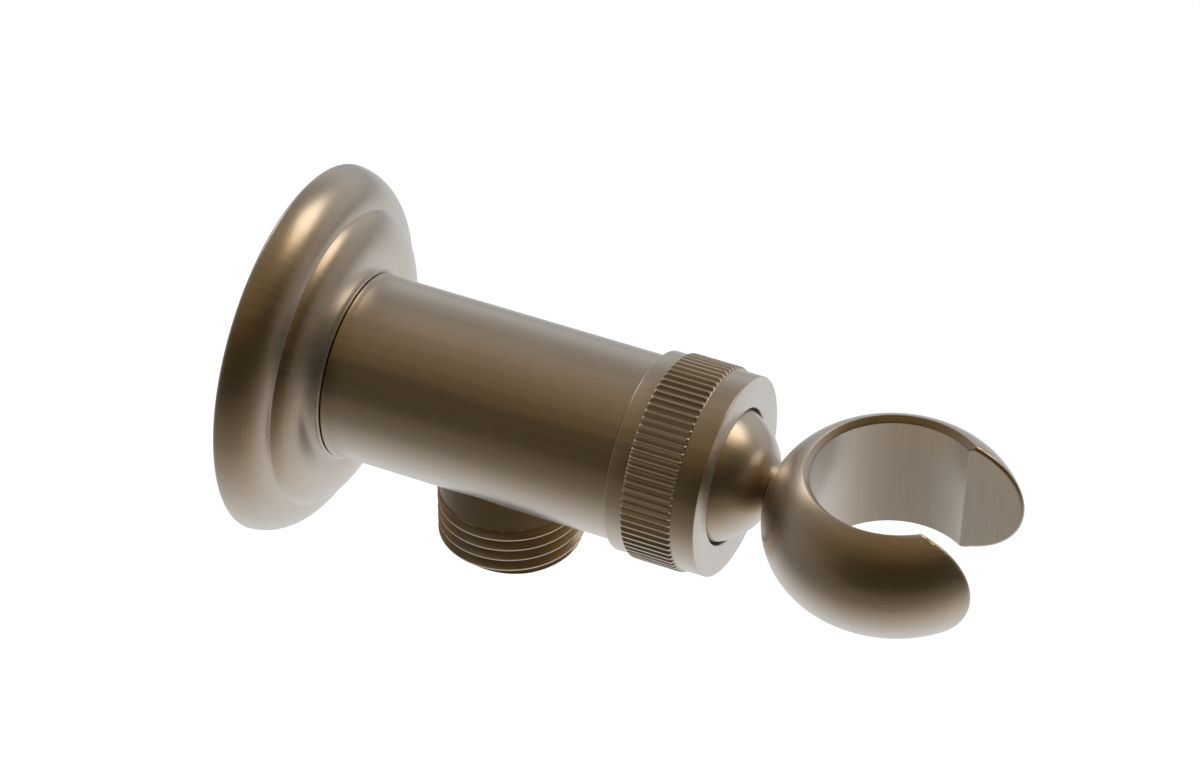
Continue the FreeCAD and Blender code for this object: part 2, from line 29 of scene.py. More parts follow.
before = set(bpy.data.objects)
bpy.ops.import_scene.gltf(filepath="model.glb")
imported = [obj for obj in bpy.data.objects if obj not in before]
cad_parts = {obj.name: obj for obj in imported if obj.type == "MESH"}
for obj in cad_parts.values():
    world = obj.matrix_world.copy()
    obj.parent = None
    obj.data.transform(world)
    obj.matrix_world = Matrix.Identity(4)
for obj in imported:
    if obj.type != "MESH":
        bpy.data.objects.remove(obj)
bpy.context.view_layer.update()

MM = 0.001
TURN_STEPS = 192
EDGE_EASE = 0.12
EASE_SHARE = 0.45
EASE_STEPS = 4
CREASE_ANGLE = math.radians(31)
FINE_GAP = 0.01
CUT_OVERLAP = 1.0

# Ball joint, clamping nut and the body's front end
BALL_PLACE = 62.513
BALL_RADIUS = 10.1
NECK_END = 72.703
NECK_RADIUS = 3.2
NECK_FILLET = 2.5
STUD_BORE = 2.55
STUD_START = 65.7
NUT_REAR = 53.4
NUT_RADIUS = 14.25
NUT_BORE = 12.06
NUT_FACE = 66.65
NUT_SHOULDER = 65.75
NUT_HOLE = 9.8
RING_START = 62.9
RING_POCKET = 11.45
KNURL_START = 55.95
KNURL_END = 63.25
KNURL_RADIUS = 14.65
KNURL_ROOT = 14.2
KNURL_BEVEL = 0.25
KNURL_COUNT = 80
KNURL_CREST_SHARE = 0.3
COLUMNS_PER_TOOTH = 8
NUT_EASE = 0.15

# Body
BODY_RADIUS = 13.2
BODY_REAR = 9.8
BODY_END = 53.05
BODY_THREAD = 12.0
BODY_THREAD_END = 61.6
THREAD_BEVEL = 0.6
SOCKET_RADIUS = 10.45
SOCKET_FLOOR = 50.963
SPIGOT_RADIUS = 12.2
INLET_RADIUS = 9.316
INLET_RELIEF = 9.616
INLET_LENGTH = 10.4
INLET_DEPTH = 12.0
WATER_RADIUS = 6.0
WATER_END = 41.563
WATER_TIP = 44.763

# Wall flange: its two beads meet in the valley, and its cove runs on over the seam
FLANGE_HEIGHT = 9.6
VALLEY = Vector((6.27, 21.49))
OUTER_BEAD = Vector((0.15, 20.45))
INNER_BEAD = 3.7
INNER_BEAD_LEAN = math.radians(24)
DOME = 9.0
DOME_LEAN = math.radians(54)
COVE = Vector((10.9, 15.8))
RIM_EDGE = 0.5
FLANGE_EASE = 0.08
FLANGE_STEPS = 256
FLANGE_BORE = 12.35
GRIP_GROOVE_START = 4.1
GRIP_GROOVE_END = 6.3
GRIP_GROOVE_RADIUS = 14.25
RECESS_RADIUS = 19.5
RECESS_DEPTH = 2.6
GASKET_INNER = 21.6
GASKET_OUTER = 25.0
GASKET_DEPTH = 1.5

# Hose outlet, measured down from the body's axis
OUTLET_PLACE = 32.55
OUTLET_RADIUS = 10.478
OUTLET_END = 21.9
OUTLET_THREAD_START = 13.5
OUTLET_NECK = 10.278
OUTLET_BEVEL = 0.7
OUTLET_SEAT = 7.4
OUTLET_STEM = 9.25
OUTLET_STEM_TOP = 2.6
STEM_GROOVE_START = 4.23
STEM_GROOVE_END = 5.77
STEM_GROOVE_RADIUS = 7.86
OUTLET_BORE = 6.8
OUTLET_LIP = 5.9
OUTLET_LIP_TOP = 20.7
SPOT_FACE = 10.398
CROSS_BORE = 9.3

# Hose thread: each crest falls away in a parabola and runs on down a straight flank
THREAD_PITCH = 1.814
THREAD_ROOT = 9.316
THREAD_CREST = 0.3
THREAD_CREST_BEND = 0.85
THREAD_SLOPE = 1.92
THREAD_TURN = 0.143
THREAD_ROWS = 200
THREAD_TAPER = 0.9
NECK_LEVEL_ROW = 0.3

# Cup
CUP_PLACE = 90.0
CUP_RING = 8.0
CUP_SECTION = 10.0
CUP_BASE = 9.13
CUP_MOUTH = 8.2
CUP_MOUTH_RADIUS = 11.62
CUP_THROAT = 11.3
CUP_BEVEL = 0.8
CUP_SLOT = 19.0
CUP_STEPS = 72
CUP_END_TURN = math.pi - math.radians(0.5)
SLOT_ROUND = 0.74
SLOT_ROUND_START = CUP_MOUTH_RADIUS + 0.2
CUP_BORE_REACH = CUP_MOUTH_RADIUS + 0.1
CUP_EASE = 0.12
LAND_RADIUS = 3.9
CUP_STUD_RADIUS = 2.1
CUP_STUD_END = 76.0

# Where each turned piece stands: its turning axis is local Z
ALONG_BODY = Matrix.Rotation(math.radians(90), 4, "X")
BELOW_BODY = Matrix.Translation((0, -OUTLET_PLACE, 0)) @ Matrix.Rotation(math.pi, 4, "X")
AT_CUP = Matrix.Translation((0, -CUP_PLACE, 0))


def leg(long_side, short_side):
    return math.sqrt(long_side * long_side - short_side * short_side)


def bend(start, end, radius, left, steps):
    """Points on the short arc after start, up to end, with its centre on the left or right."""
    start, end = Vector(start), Vector(end)
    chord = end - start
    side = Vector((-chord.y, chord.x)).normalized()
    rise = leg(radius, chord.length / 2)
    centre = start + chord / 2 + side * (rise if left else -rise)
    first = math.atan2(start.y - centre.y, start.x - centre.x)
    sweep = 2 * math.asin(chord.length / 2 / radius)
    if not left:
        sweep = -sweep
    return [
        centre + radius * Vector((math.cos(angle), math.sin(angle)))
        for angle in (first + sweep * step / steps for step in range(1, steps + 1))
    ]


def ease_corners(points, ease):
    """Rounds each sharp corner of a closed outline, but not where it meets the axis."""
    eased = []
    for index, point in enumerate(points):
        before = points[index - 1] - point
        after = points[(index + 1) % len(points)] - point
        turn = math.pi - before.angle(after)
        if turn < CREASE_ANGLE or point.y < ease:
            eased.append(point)
            continue
        side = min(before.length, after.length)
        reach = min(ease * math.tan(turn / 2), EASE_SHARE * side)
        start = point + before.normalized() * reach
        end = point + after.normalized() * reach
        left = before.x * after.y < before.y * after.x
        eased += [start] + bend(start, end, reach / math.tan(turn / 2), left, EASE_STEPS)
    return eased


def outline(*stretches, ease=EDGE_EASE):
    """A closed outline. A stretch is a corner, or a corner with the radius, the side of the
    centre and the steps of the arc that leads to the next corner."""
    corners = [Vector(stretch[0] if len(stretch) == 4 else stretch) for stretch in stretches]
    points = []
    for index, stretch in enumerate(stretches):
        points.append(corners[index])
        if len(stretch) == 4:
            end = corners[(index + 1) % len(corners)]
            points += bend(corners[index], end, *stretch[1:])[:-1]
    return ease_corners(points, ease) if ease else points


def spin_outline(points, steps=TURN_STEPS):
    """A mesh turned round local Z from an outline of places and radii."""
    form = bmesh.new()
    corners = [form.verts.new((radius, 0, place)) for place, radius in points]
    rim = [form.edges.new(pair) for pair in zip(corners, corners[1:] + corners[:1])]
    bmesh.ops.spin(
        form,
        geom=corners + rim,
        cent=(0, 0, 0),
        axis=(0, 0, 1),
        angle=math.tau,
        steps=steps,
        use_merge=True,
    )
    bmesh.ops.remove_doubles(form, verts=form.verts, dist=0.0005)
    return form


def mark_creases(form):
    for face in form.faces:
        face.smooth = True
    for edge in form.edges:
        edge.smooth = edge.calc_face_angle(0) < CREASE_ANGLE


def finish_piece(name, form, stand, body, replaced):
    """Makes the piece's object, in metres, with crisp creases, and hides the CAD part it
    replaces.
    """
    bmesh.ops.dissolve_degenerate(form, dist=0.0002, edges=form.edges)
    bmesh.ops.recalc_face_normals(form, faces=form.faces)
    bmesh.ops.transform(form, matrix=Matrix.Scale(MM, 4) @ stand, verts=form.verts)
    mark_creases(form)
    mesh = bpy.data.meshes.new(name)
    form.to_mesh(mesh)
    form.free()
    piece = bpy.data.objects.new(name, mesh)
    bpy.context.scene.collection.objects.link(piece)
    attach(piece, body)
    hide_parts(replaced)
    return piece


def level_shading(piece):
    """Keeps flat faces flat beside their rounded edges."""
    shading = piece.modifiers.new("level", "WEIGHTED_NORMAL")
    shading.keep_sharp = True
    shading.weight = 90
    return piece


def round_tool(radius, start, end, stand):
    """A plain round cutter from start to end along its axis."""
    form = bmesh.new()
    bmesh.ops.create_cone(
        form,
        cap_ends=True,
        segments=TURN_STEPS,
        radius1=radius,
        radius2=radius,
        depth=end - start,
        matrix=Matrix.Translation((0, 0, (start + end) / 2)),
    )
    bmesh.ops.transform(form, matrix=Matrix.Scale(MM, 4) @ stand, verts=form.verts)
    mesh = bpy.data.meshes.new("tool")
    form.to_mesh(mesh)
    form.free()
    tool = bpy.data.objects.new("tool", mesh)
    bpy.context.scene.collection.objects.link(tool)
    return tool


def cut_with(piece, tools):
    """Cuts the tools out of the piece and takes them away."""
    for tool in tools:
        cut = piece.modifiers.new("cut", "BOOLEAN")
        cut.operation = "DIFFERENCE"
        cut.solver = "EXACT"
        cut.object = tool
    graph = bpy.context.evaluated_depsgraph_get()
    carved = bpy.data.meshes.new_from_object(piece.evaluated_get(graph))
    piece.modifiers.clear()
    piece.data = carved
    for tool in tools:
        bpy.data.objects.remove(tool)
    form = bmesh.new()
    form.from_mesh(carved)
    mark_creases(form)
    form.to_mesh(carved)
    form.free()


def on_cove(place):
    """A point of the cove that leads into the body, at a place along the axis."""
    radius = COVE.y - BODY_RADIUS
    return (place, COVE.y - leg(radius, COVE.x - place))


def leaning(angle):
    """The way out of a turned surface that leans this far towards the front."""
    return Vector((math.sin(angle), math.cos(angle)))


def make_rose():
    """The wall flange: two beads and a cove, with the recesses in its back."""
    outer_bead = (VALLEY - OUTER_BEAD).length
    edge_centre = OUTER_BEAD.y + leg(outer_bead - RIM_EDGE, RIM_EDGE - OUTER_BEAD.x)
    rim = OUTER_BEAD + outer_bead * (Vector((RIM_EDGE, edge_centre)) - OUTER_BEAD).normalized()
    dome_way = leaning(DOME_LEAN)
    dome_start = VALLEY + INNER_BEAD * (dome_way - leaning(INNER_BEAD_LEAN))
    dome_centre = dome_start - DOME * dome_way
    seam = Vector(on_cove(FLANGE_HEIGHT))
    across = seam - dome_centre
    inward = (COVE - seam).normalized()
    foot = (across.length_squared - DOME * DOME) / (2 * (DOME - inward.dot(across)))
    foot_start = dome_centre.lerp(seam + foot * inward, DOME / (DOME + foot))
    points = outline(
        ((0, edge_centre), RIM_EDGE, False, 6),
        (rim, outer_bead, False, 28),
        (VALLEY, INNER_BEAD, False, 16),
        (dome_start, DOME, False, 18),
        (foot_start, foot, True, 12),
        seam,
        (FLANGE_HEIGHT, FLANGE_BORE),
        (GRIP_GROOVE_END, FLANGE_BORE),
        (GRIP_GROOVE_END, GRIP_GROOVE_RADIUS),
        (GRIP_GROOVE_START, GRIP_GROOVE_RADIUS),
        (GRIP_GROOVE_START, FLANGE_BORE),
        (RECESS_DEPTH, FLANGE_BORE),
        (RECESS_DEPTH, RECESS_RADIUS),
        (0, RECESS_RADIUS),
        (0, GASKET_INNER),
        (GASKET_DEPTH, GASKET_INNER),
        (GASKET_DEPTH, GASKET_OUTER),
        (0, GASKET_OUTER),
        ease=FLANGE_EASE,
    )
    form = spin_outline(points, steps=FLANGE_STEPS)
    return level_shading(finish_piece("rose", form, ALONG_BODY, "wall_body", "wall_flange"))


def make_barrel():
    """The turned body, with the spot face and the cross bore for the outlet."""
    points = outline(
        (0, SPIGOT_RADIUS),
        (BODY_REAR, SPIGOT_RADIUS),
        (on_cove(BODY_REAR), COVE.y - BODY_RADIUS, True, 6),
        (COVE.x, BODY_RADIUS),
        (BODY_END, BODY_RADIUS),
        (BODY_END, BODY_THREAD),
        (BODY_THREAD_END - THREAD_BEVEL, BODY_THREAD),
        (BODY_THREAD_END, BODY_THREAD - THREAD_BEVEL),
        (BODY_THREAD_END, SOCKET_RADIUS),
        (SOCKET_FLOOR, SOCKET_RADIUS),
        (SOCKET_FLOOR, 0),
        (WATER_TIP, 0),
        (WATER_END, WATER_RADIUS),
        (INLET_DEPTH, WATER_RADIUS),
        (INLET_DEPTH, INLET_RELIEF),
        (INLET_LENGTH, INLET_RELIEF),
        (INLET_LENGTH, INLET_RADIUS),
        (0, INLET_RADIUS),
    )
    piece = finish_piece("barrel", spin_outline(points), ALONG_BODY, "wall_body", "body")
    spot_face = round_tool(SPOT_FACE, OUTLET_SEAT, 2 * OUTLET_END, BELOW_BODY)
    cross_bore = round_tool(CROSS_BORE, 0, OUTLET_SEAT + CUT_OVERLAP, BELOW_BODY)
    cut_with(piece, [spot_face, cross_bore])
    return level_shading(piece)


def thread_radius(place, angle):
    """The hose thread's radius, with a taper where it starts and where it ends."""
    fall = (place / THREAD_PITCH - angle / math.tau + THREAD_TURN) % 1 * THREAD_PITCH
    crest = min(fall, THREAD_CREST)
    depth = crest * crest / THREAD_CREST_BEND + (fall - crest) * THREAD_SLOPE
    radius = OUTLET_RADIUS - min(depth, (THREAD_PITCH - fall) * THREAD_SLOPE)
    start_taper = OUTLET_NECK + THREAD_TAPER * (place - OUTLET_THREAD_START)
    end_taper = OUTLET_RADIUS - THREAD_TAPER * (place - OUTLET_END + OUTLET_BEVEL)
    return max(THREAD_ROOT, min(radius, start_taper, end_taper))


def make_outlet():
    """The hose nipple with its cut thread."""
    points = outline(
        (OUTLET_STEM_TOP, OUTLET_BORE),
        (OUTLET_STEM_TOP, OUTLET_STEM),
        (STEM_GROOVE_START, OUTLET_STEM),
        (STEM_GROOVE_START, STEM_GROOVE_RADIUS),
        (STEM_GROOVE_END, STEM_GROOVE_RADIUS),
        (STEM_GROOVE_END, OUTLET_STEM),
        (OUTLET_SEAT, OUTLET_STEM),
        (OUTLET_SEAT, OUTLET_NECK),
        (OUTLET_THREAD_START - NECK_LEVEL_ROW, OUTLET_NECK),
        (OUTLET_THREAD_START, OUTLET_NECK),
        (OUTLET_END, OUTLET_NECK),
        (OUTLET_END, OUTLET_LIP),
        (OUTLET_LIP_TOP, OUTLET_LIP),
        (OUTLET_LIP_TOP, OUTLET_BORE),
        ease=0,
    )
    first = points.index(Vector((OUTLET_THREAD_START, OUTLET_NECK)))
    length = OUTLET_END - OUTLET_THREAD_START
    rows = [
        Vector((OUTLET_THREAD_START + length * row / THREAD_ROWS, OUTLET_NECK))
        for row in range(1, THREAD_ROWS)
    ]
    form = spin_outline(points[: first + 1] + rows + points[first + 1 :])
    for corner in form.verts:
        reach = corner.co.xy.length
        if corner.co.z > OUTLET_THREAD_START + FINE_GAP and reach > OUTLET_NECK - FINE_GAP:
            radius = thread_radius(corner.co.z, math.atan2(corner.co.y, corner.co.x))
            corner.co.xy *= radius / reach
    # The stem and neck take the first material, which carries painted shade; the thread takes the
    # second
    for face in form.faces:
        middle = face.calc_center_median()
        threaded = middle.z > OUTLET_THREAD_START and middle.xy.length > OUTLET_STEM
        face.material_index = int(threaded)
    return finish_piece("outlet", form, BELOW_BODY, "wall_body", "outlet_nipple")


def tooth_radius(angle):
    """The radius of the knurl: flat crests with V grooves between them."""
    turn = abs((angle / math.tau * KNURL_COUNT + 0.5) % 1 - 0.5)
    depth = (turn - 0.5 * KNURL_CREST_SHARE) / (0.5 - 0.5 * KNURL_CREST_SHARE)
    return KNURL_RADIUS - (KNURL_RADIUS - KNURL_ROOT) * max(0, depth)


def make_nut():
    """The clamping nut, with its band of straight knurling."""
    points = outline(
        (NUT_REAR, NUT_BORE),
        (NUT_REAR, NUT_RADIUS),
        (NUT_FACE, NUT_RADIUS),
        (NUT_FACE, NUT_HOLE),
        (NUT_SHOULDER, NUT_HOLE),
        (NUT_SHOULDER, RING_POCKET),
        (RING_START, RING_POCKET),
        (RING_START, NUT_BORE),
        ease=NUT_EASE,
    )
    knurl = [
        (KNURL_START, NUT_RADIUS),
        (KNURL_START, KNURL_RADIUS - KNURL_BEVEL),
        (KNURL_START + KNURL_BEVEL, KNURL_RADIUS),
        (KNURL_END - KNURL_BEVEL, KNURL_RADIUS),
        (KNURL_END, KNURL_RADIUS - KNURL_BEVEL),
        (KNURL_END, NUT_RADIUS),
    ]
    front = next(index for index, point in enumerate(points) if point.x > KNURL_END)
    form = spin_outline(
        points[:front] + [Vector(corner) for corner in knurl] + points[front:],
        steps=KNURL_COUNT * COLUMNS_PER_TOOTH,
    )
    for corner in form.verts:
        reach = corner.co.xy.length
        if reach > NUT_RADIUS + FINE_GAP:
            radius = tooth_radius(math.atan2(corner.co.y, corner.co.x))
            corner.co.xy *= min(1, radius / reach)
    for face in form.faces:
        face.material_index = int(face.calc_center_median().z > NUT_FACE - FINE_GAP)
    return level_shading(finish_piece("clamping_nut", form, ALONG_BODY, "nut", "knurled_nut"))


def make_ball():
    """The ball, its neck and the blind hole for the stud."""
    reach = BALL_RADIUS + NECK_FILLET
    fillet_radius = NECK_RADIUS + NECK_FILLET
    fillet_offset = leg(reach, fillet_radius)
    share = BALL_RADIUS / reach
    neck_rim = fillet_radius - leg(NECK_FILLET, BALL_PLACE + fillet_offset - NECK_END)
    blend = (BALL_PLACE + fillet_offset * share, fillet_radius * share)
    points = outline(
        ((BALL_PLACE - BALL_RADIUS, 0), BALL_RADIUS, False, 40),
        ((BALL_PLACE, BALL_RADIUS), BALL_RADIUS, False, 30),
        (blend, NECK_FILLET, True, 12),
        (NECK_END, neck_rim),
        (NECK_END, STUD_BORE),
        (STUD_START, STUD_BORE),
        (STUD_START, 0),
        ease=0,
    )
    return finish_piece("ball_and_neck", spin_outline(points), ALONG_BODY, "ball", "ball_stem")


def soften(form, edges, offset, segments):
    bmesh.ops.bevel(
        form,
        geom=edges,
        offset=offset,
        offset_type="OFFSET",
        affect="EDGES",
        segments=segments,
        profile=0.5,
        material=-1,
    )


def make_cup():
    """The slotted cup: a turned ring whose two ends run out in the slot's flat sides."""
    lip_radius = CUP_MOUTH_RADIUS + CUP_BEVEL
    points = outline(
        (-CUP_BASE, CUP_THROAT),
        ((-CUP_BASE, CUP_RING + leg(CUP_SECTION, CUP_BASE)), CUP_SECTION, False, 26),
        ((0, CUP_RING + CUP_SECTION), CUP_SECTION, False, 26),
        (leg(CUP_SECTION, lip_radius - CUP_RING), lip_radius),
        (CUP_MOUTH, CUP_MOUTH_RADIUS),
        ease=0,
    )
    form = bmesh.new()
    corners = [form.verts.new((0, radius, place)) for place, radius in points]
    first_end = form.faces.new(corners)
    bmesh.ops.rotate(
        form, verts=corners, cent=(0, 0, 0), matrix=Matrix.Rotation(-CUP_END_TURN, 3, "Z")
    )
    bmesh.ops.spin(
        form,
        geom=[first_end],
        cent=(0, 0, 0),
        axis=(0, 0, 1),
        angle=2 * CUP_END_TURN,
        steps=CUP_STEPS,
    )
    for corner in form.verts:
        reach = corner.co.xy.length
        turn = math.atan2(-corner.co.x, corner.co.y)
        turn *= (math.pi - math.asin(0.5 * CUP_SLOT / reach)) / CUP_END_TURN
        corner.co.xy = -reach * math.sin(turn), reach * math.cos(turn)
    bmesh.ops.recalc_face_normals(form, faces=form.faces)
    ends = [
        edge
        for edge in form.edges
        if max(len(face.verts) for face in edge.link_faces) == len(points)
        and min(corner.co.xy.length for corner in edge.verts) > SLOT_ROUND_START
    ]
    soften(form, ends, SLOT_ROUND, 6)
    bmesh.ops.remove_doubles(form, verts=form.verts, dist=0.002)
    creases = [edge for edge in form.edges if edge.calc_face_angle(0) > CREASE_ANGLE]
    soften(form, creases, CUP_EASE, 2)
    for face in form.faces:
        middle = face.calc_center_median()
        in_bore = middle.xy.length < CUP_BORE_REACH and middle.z < CUP_MOUTH
        in_slot = middle.y < 0 and abs(middle.x) < 0.5 * CUP_SLOT + FINE_GAP
        face.material_index = int(in_bore or in_slot)
    piece = finish_piece("cup", form, AT_CUP, "cup", "holder_cup")
    land = round_tool(LAND_RADIUS, CUP_PLACE - 2 * CUP_SECTION, NECK_END, ALONG_BODY)
    stud_hole = round_tool(CUP_STUD_RADIUS, NECK_END - CUT_OVERLAP, CUP_STUD_END, ALONG_BODY)
    cut_with(piece, [land, stud_hole])
    return level_shading(piece)


class Shade:
    """A socket of a material. Sums on it add the nodes that they need."""

    def __init__(self, tree, socket=None):
        self.tree = tree
        self.socket = socket

    def node(self, kind, settings=None, inputs=None, output=0):
        """Adds a node: its settings first, then the values or links of its sockets."""
        made = self.tree.nodes.new(kind)
        for name, value in (settings or {}).items():
            setattr(made, name, value)
        for name, value in (inputs or {}).items():
            if isinstance(value, Shade):
                self.tree.links.new(value.socket, made.inputs[name])
            else:
                made.inputs[name].default_value = value
        return Shade(self.tree, made.outputs[output] if made.outputs else None)

    def maths(self, operation, first, second=0.0):
        return self.node(
            "ShaderNodeMath", {"operation": operation}, {0: first, 1: second}
        )

    def __add__(self, other):
        return self.maths("ADD", self, other)

    def __sub__(self, other):
        return self.maths("SUBTRACT", self, other)

    def __rsub__(self, other):
        return self.maths("SUBTRACT", other, self)

    def __mul__(self, other):
        return self.maths("MULTIPLY", self, other)

    def __truediv__(self, other):
        return self.maths("DIVIDE", self, other)

    def __rtruediv__(self, other):
        return self.maths("DIVIDE", other, self)

    __radd__ = __add__
    __rmul__ = __mul__

    def spread(self, low, high, to_low=0.0, to_high=1.0):
        """Maps low to high onto new values, smoothly and with firm ends."""
        return self.node(
            "ShaderNodeMapRange",
            {"interpolation_type": "SMOOTHSTEP"},
            {0: self, 1: low, 2: high, 3: to_low, 4: to_high},
        )

    def mix(self, first, second):
        """Blends two colours by this value."""
        return self.node(
            "ShaderNodeMix", {"data_type": "RGBA"}, {0: self, 6: first, 7: second}, 2
        )


def new_material(name):
    material = bpy.data.materials.new(name)
    material.use_nodes = True
    material.node_tree.nodes.clear()
    return material, Shade(material.node_tree)


def put_out(shade, inputs):
    """Adds the main shader and the output."""
    surface = shade.node("ShaderNodeBsdfPrincipled", None, inputs)
    shade.node("ShaderNodeOutputMaterial", None, {"Surface": surface})


# Tones of bronze: deep, middle and pale where it is faced, and the tone where it is grazed
GRAZED = (1, 0.995, 0.985, 1)
WARM_BRONZE = ((0.42, 0.258, 0.099, 1), (0.49, 0.305, 0.12, 1), (0.57, 0.359, 0.147, 1), GRAZED)
UPRIGHT_BRONZE = ((0.53, 0.395, 0.25, 1), (0.58, 0.44, 0.295, 1), (0.64, 0.5, 0.355, 1), GRAZED)
# The outlet's neck: very dark tones and a dim grazing tone, painted shade for the shade it hangs
# in under the body
NECK_SHADED_BRONZE = (
    (0.11, 0.07, 0.03, 1),
    (0.13, 0.084, 0.038, 1),
    (0.16, 0.104, 0.048, 1),
    (0.2, 0.14, 0.09, 1),
)
# The outlet's thread: tones a little darker and a dimmed grazing tone, painted shade
THREAD_SHADED_BRONZE = (
    (0.35, 0.24, 0.105, 1),
    (0.39, 0.268, 0.12, 1),
    (0.43, 0.296, 0.134, 1),
    (0.8, 0.74, 0.66, 1),
)
# A pale tone on the thread's crests: a painted highlight where the rounded crests catch the light
CREST_PAINTED_HIGHLIGHT = (0.82, 0.74, 0.64, 1)
CREST_HIGHLIGHT_DEPTH = 0.1


def brushed(name, lines, tones=WARM_BRONZE, centre=(0, 0, 0), turn=(0, 0, 0), highlight_radius=None):
    """Brushed bronze. Its lines are turned round local Z, run lengthwise along the piece's
    outline, or stand upright, whichever is named. Near the highlight radius it turns pale:
    a painted highlight."""
    deep, middle, pale, grazed = tones
    material, shade = new_material(name)
    place = shade.node("ShaderNodeTexCoord", None, None, "Object")
    place = shade.node(
        "ShaderNodeMapping", {"vector_type": "POINT"}, {0: place, 1: centre, 2: turn}
    )
    east, north, along = (
        shade.node("ShaderNodeSeparateXYZ", None, {0: place}, axis) for axis in range(3)
    )
    radius = shade.maths("SQRT", east * east + north * north) + 1e-5

    def streaks(around, lengthwise, outward, detail):
        """Noise drawn out along the lines, from its steps per radian and per metre."""
        inputs = {0: east / radius * around, 1: north / radius * around, 2: along * lengthwise}
        spot = shade.node("ShaderNodeCombineXYZ", None, inputs)
        return shade.node(
            "ShaderNodeTexNoise",
            {"noise_dimensions": "4D"},
            {"Vector": spot, "W": radius * outward, "Detail": detail, "Scale": 1.0},
        )

    def upright(across, detail):
        """Noise in lines along the world's height."""
        inputs = {0: east * across, 1: north * across, 2: along * 40.0}
        spot = shade.node("ShaderNodeCombineXYZ", None, inputs)
        return shade.node(
            "ShaderNodeTexNoise", None, {"Vector": spot, "Detail": detail, "Scale": 1.0}
        )

    if lines == "turned":
        fine = streaks(around=4.0, lengthwise=7000.0, outward=7000.0, detail=2.0)
        broad = streaks(around=2.0, lengthwise=900.0, outward=900.0, detail=1.0)
    elif lines == "lengthwise":
        fine = streaks(around=75.0, lengthwise=50.0, outward=50.0, detail=2.0)
        broad = streaks(around=14.0, lengthwise=25.0, outward=25.0, detail=1.0)
    else:
        fine = upright(across=5000.0, detail=2.0)
        broad = upright(across=700.0, detail=1.0)
    cloud = shade.node(
        "ShaderNodeTexNoise", None, {"Vector": place, "Scale": 90.0, "Detail": 2.0}
    )
    grit = shade.node(
        "ShaderNodeTexNoise", None, {"Vector": place, "Scale": 4500.0, "Detail": 1.0}
    )
    tone = fine.spread(0.3, 0.7) * 0.6 + broad.spread(0.3, 0.7) * 0.4
    colour = tone.mix(deep, pale)
    colour = cloud.spread(0.3, 0.7, 0.1, 0.4).mix(colour, middle)
    # Painted highlight: the colour turns pale near the highlight radius, on the thread's crests
    if highlight_radius:
        colour = radius.spread((highlight_radius - CREST_HIGHLIGHT_DEPTH) * MM, highlight_radius * MM).mix(colour, CREST_PAINTED_HIGHLIGHT)
    glance = shade.node("ShaderNodeLayerWeight", None, {"Blend": 0.5}, "Facing")
    colour = (glance * 1.08).mix(colour, grazed)
    rough = 0.29 + fine.spread(0.25, 0.75) * 0.06 + cloud.spread(0.3, 0.7) * 0.03
    relief = shade.node(
        "ShaderNodeBump",
        None,
        {"Strength": 0.12, "Distance": 0.00003, "Height": fine + grit * 0.5},
    )
    put_out(
        shade,
        {"Base Color": colour, "Metallic": 1.0, "Roughness": rough, "Normal": relief},
    )
    return material


def grained(name, low, high, roughness, metallic=0.0, grain=400.0):
    """A moulded or ground finish with a fine grain between two tones."""
    material, shade = new_material(name)
    place = shade.node("ShaderNodeTexCoord", None, None, "Object")
    speck = shade.node(
        "ShaderNodeTexNoise", None, {"Vector": place, "Scale": grain, "Detail": 3.0}
    )
    colour = speck.spread(0.3, 0.7).mix(low, high)
    rough = speck.spread(0.3, 0.7, roughness - 0.05, roughness + 0.08)
    relief = shade.node(
        "ShaderNodeBump", None, {"Strength": 0.3, "Distance": 0.00002, "Height": speck}
    )
    put_out(
        shade,
        {"Base Color": colour, "Metallic": metallic, "Roughness": rough, "Normal": relief},
    )
    return material


def dress(piece, *materials):
    """Gives a piece its materials, in the order of its mesh's slots."""
    slots = piece.data.materials
    while len(slots) < len(materials):
        slots.append(None)
    for index in range(len(slots)):
        slots[index] = materials[min(index, len(materials) - 1)]


rose = make_rose()
barrel = make_barrel()
outlet = make_outlet()
nut = make_nut()
ball = make_ball()
cup = make_cup()

along_body = {"turn": (math.radians(-90), 0, 0)}
at_outlet = {"centre": (0, OUTLET_PLACE * MM, 0)}
at_cup = {"centre": (0, CUP_PLACE * MM, 0)}
drawn_bronze = brushed("bronze_drawn_lengthwise", "lengthwise", **along_body)
upright_bronze = brushed("bronze_brushed_upright", "upright", UPRIGHT_BRONZE)
turned_bronze = brushed("bronze_turned_cup", "turned", **at_cup)
# The outlet's materials carry painted shade, and the thread's one also a painted highlight on its
# crests
shaded_outlet_bronze = brushed("bronze_outlet_painted_shade", "turned", NECK_SHADED_BRONZE, **at_outlet)
thread_shade_and_highlight_bronze = brushed(
    "bronze_thread_painted_shade_and_highlight", "turned", THREAD_SHADED_BRONZE, highlight_radius=OUTLET_RADIUS, **at_outlet
)
for piece in (rose, barrel, ball):
    dress(piece, drawn_bronze)
dress(nut, drawn_bronze, upright_bronze)
dress(outlet, shaded_outlet_bronze, thread_shade_and_highlight_bronze)
dress(cup, turned_bronze, upright_bronze)

